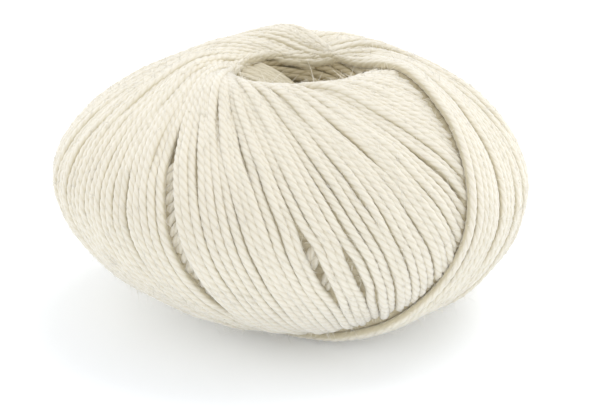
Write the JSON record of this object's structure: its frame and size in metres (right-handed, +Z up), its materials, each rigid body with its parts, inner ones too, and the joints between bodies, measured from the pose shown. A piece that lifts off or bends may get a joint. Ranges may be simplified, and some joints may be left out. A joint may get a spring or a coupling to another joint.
{
  "type": "ball of yarn",
  "caption": "Ball of undyed alpaca yarn, wound in tilted loops round an open middle, resting on a small flat spot.",
  "frame": {"origin": "middle of the bounding box's floor, where the ball rests", "axes": "+Z up along the shortest extent, +X to the right, and the side with the long fan of turns faces -Y"},
  "size_m": [0.1076, 0.1064, 0.0608],
  "materials": {
    "yarn": "undyed off-white wool, matt and softly hairy"
  },
  "bodies": {
    "root": {"wound_ball": "yarn"}
  },
  "joints": []
}
